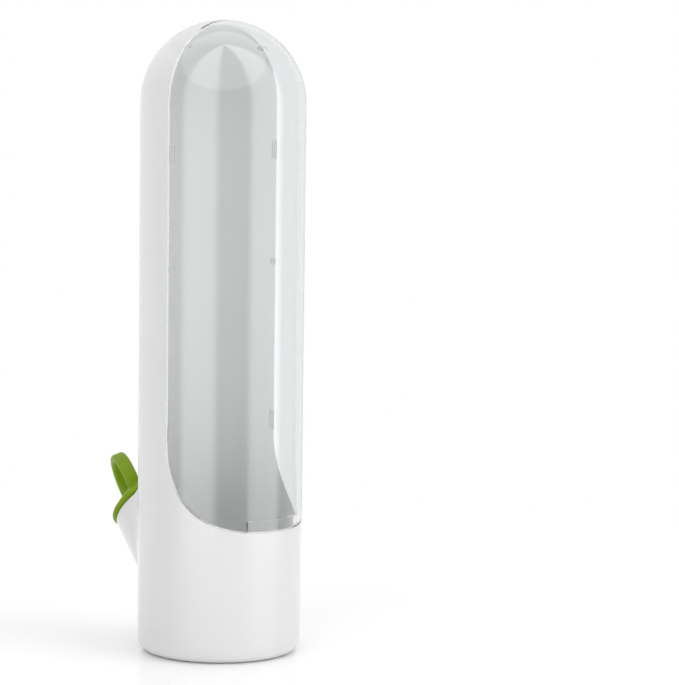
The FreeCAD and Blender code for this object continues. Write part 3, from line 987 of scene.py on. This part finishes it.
class HERBKEEPER_OT_studio(bpy.types.Operator):
    """Lay the floor and set up the light and the camera"""

    bl_idname = "herb_keeper.studio"
    bl_label = "Studio"

    def execute(self, context):
        scene = context.scene
        settings = scene.herb_keeper.studio
        bm = bmesh.new()
        bmesh.ops.create_circle(bm, cap_ends=True, segments=96, radius=settings.floor_size)
        floor = bpy.data.objects.new("studio_floor", as_mesh(bm, "studio_floor"))
        floor.data.materials.append(studio_floor(settings))
        scene.collection.objects.link(floor)

        camera = bpy.data.objects.new("studio_camera", bpy.data.cameras.new("studio_camera"))
        scene.collection.objects.link(camera)
        camera.location = CAMERA_PLACE
        camera.rotation_euler = CAMERA_TURN
        camera.data.sensor_width = 36.0
        camera.data.lens = CAMERA_LENS
        camera.data.clip_end = 200.0
        scene.camera = camera

        self.light_room(scene, settings)
        scene.view_settings.view_transform = "Standard"
        scene.view_settings.look = "None"
        return {"FINISHED"}

    def light_room(self, scene, settings):
        """A white sweep behind, two tall softboxes in a dimmer room, and light overhead."""
        world = bpy.data.worlds.new("Studio Room")
        world.use_nodes = True
        tree = world.node_tree
        tree.nodes.clear()
        scene.world = world
        way = add_node(tree, "ShaderNodeTexCoord").outputs["Generated"]
        flat = add_node(
            tree, "ShaderNodeVectorMath", {"operation": "MULTIPLY"}, {0: way, 1: (1, 1, 0)}
        )
        level = add_node(
            tree, "ShaderNodeVectorMath", {"operation": "NORMALIZE"}, {0: flat.outputs["Vector"]}
        ).outputs["Vector"]
        path = add_node(tree, "ShaderNodeLightPath")

        def lobe(heading, full, end, low, high):
            """Light that falls from high to low between two angles off a heading."""
            angle = math.radians(heading)
            facing = add_node(
                tree, "ShaderNodeVectorMath", {"operation": "DOT_PRODUCT"},
                {0: level, 1: (math.sin(angle), -math.cos(angle), 0)},
            )
            return add_node(
                tree, "ShaderNodeMapRange", {"interpolation_type": "SMOOTHSTEP"},
                {
                    "Value": facing.outputs["Value"],
                    "From Min": math.cos(math.radians(end)),
                    "From Max": math.cos(math.radians(full)),
                    "To Min": low,
                    "To Max": high,
                },
            ).outputs["Result"]

        total = lobe(SWEEP_HEADING, SWEEP_FULL, SWEEP_END, settings.sky, settings.sweep)
        for heading, share, spill in SOFTBOXES:
            box = lobe(heading, BOX_FULL, BOX_END, 0, share * settings.box_light)
            fill = add_node(
                tree, "ShaderNodeMapRange",
                inputs={"Value": path.outputs["Is Diffuse Ray"], "To Min": 1.0, "To Max": spill},
            ).outputs["Result"]
            bright = add_node(
                tree, "ShaderNodeMath", {"operation": "MULTIPLY_ADD"}, {0: box, 1: fill, 2: total}
            )
            total = bright.outputs["Value"]
        light = add_node(tree, "ShaderNodeBackground", inputs={"Strength": total})
        # What is seen of the room, directly or through the clear cover, is white.
        seen = add_node(
            tree, "ShaderNodeBackground", inputs={"Color": (1, 1, 1, 1), "Strength": 1.0}
        )
        direct = add_node(
            tree, "ShaderNodeMath", {"operation": "MAXIMUM"},
            {0: path.outputs["Is Camera Ray"], 1: path.outputs["Is Transmission Ray"]},
        )
        mixed = add_node(
            tree, "ShaderNodeMixShader",
            inputs={
                "Fac": direct.outputs["Value"],
                1: light.outputs["Background"],
                2: seen.outputs["Background"],
            },
        )
        add_node(tree, "ShaderNodeOutputWorld", inputs={"Surface": mixed.outputs["Shader"]})

        lamp = bpy.data.lights.new("top_light", "SUN")
        lamp.energy = settings.top_light
        lamp.angle = TOP_LIGHT_SPREAD
        top = bpy.data.objects.new("top_light", lamp)
        top.rotation_euler = TOP_LIGHT_TURN
        scene.collection.objects.link(top)


class HERBKEEPER_PT_panel(bpy.types.Panel):
    """Buttons for the pieces and the settings that they read"""

    bl_idname = "HERBKEEPER_PT_panel"
    bl_label = "Herb Keeper"
    bl_space_type = "VIEW_3D"
    bl_region_type = "UI"
    bl_category = "Herb Keeper"

    def draw(self, context):
        layout = self.layout
        for operator in OPERATORS:
            layout.operator(operator.bl_idname)
        for name in ("white", "cover", "stopper", "studio"):
            group = getattr(context.scene.herb_keeper, name)
            box = layout.box()
            box.label(text=name.capitalize())
            for setting in group.bl_rna.properties:
                if not setting.is_readonly and setting.identifier != "name":
                    box.prop(group, setting.identifier)


OPERATORS = (
    HERBKEEPER_OT_white_shell,
    HERBKEEPER_OT_foot_plate,
    HERBKEEPER_OT_clear_cover,
    HERBKEEPER_OT_stopper,
    HERBKEEPER_OT_studio,
)
CLASSES = (
    HERBKEEPER_PG_white,
    HERBKEEPER_PG_cover,
    HERBKEEPER_PG_stopper,
    HERBKEEPER_PG_studio,
    HERBKEEPER_PG_settings,
    *OPERATORS,
    HERBKEEPER_PT_panel,
)


def register():
    """Make the settings, operators and panel known to Blender."""
    for cls in CLASSES:
        bpy.utils.register_class(cls)
    bpy.types.Scene.herb_keeper = PointerProperty(type=HERBKEEPER_PG_settings)


def unregister():
    """Take them out again."""
    del bpy.types.Scene.herb_keeper
    for cls in reversed(CLASSES):
        bpy.utils.unregister_class(cls)


def main():
    """Register the settings, operators and panel, and build every piece and the studio."""
    register()
    for operator in OPERATORS:
        section, name = operator.bl_idname.split(".")
        getattr(getattr(bpy.ops, section), name)()


if __name__ == "__main__":
    main()
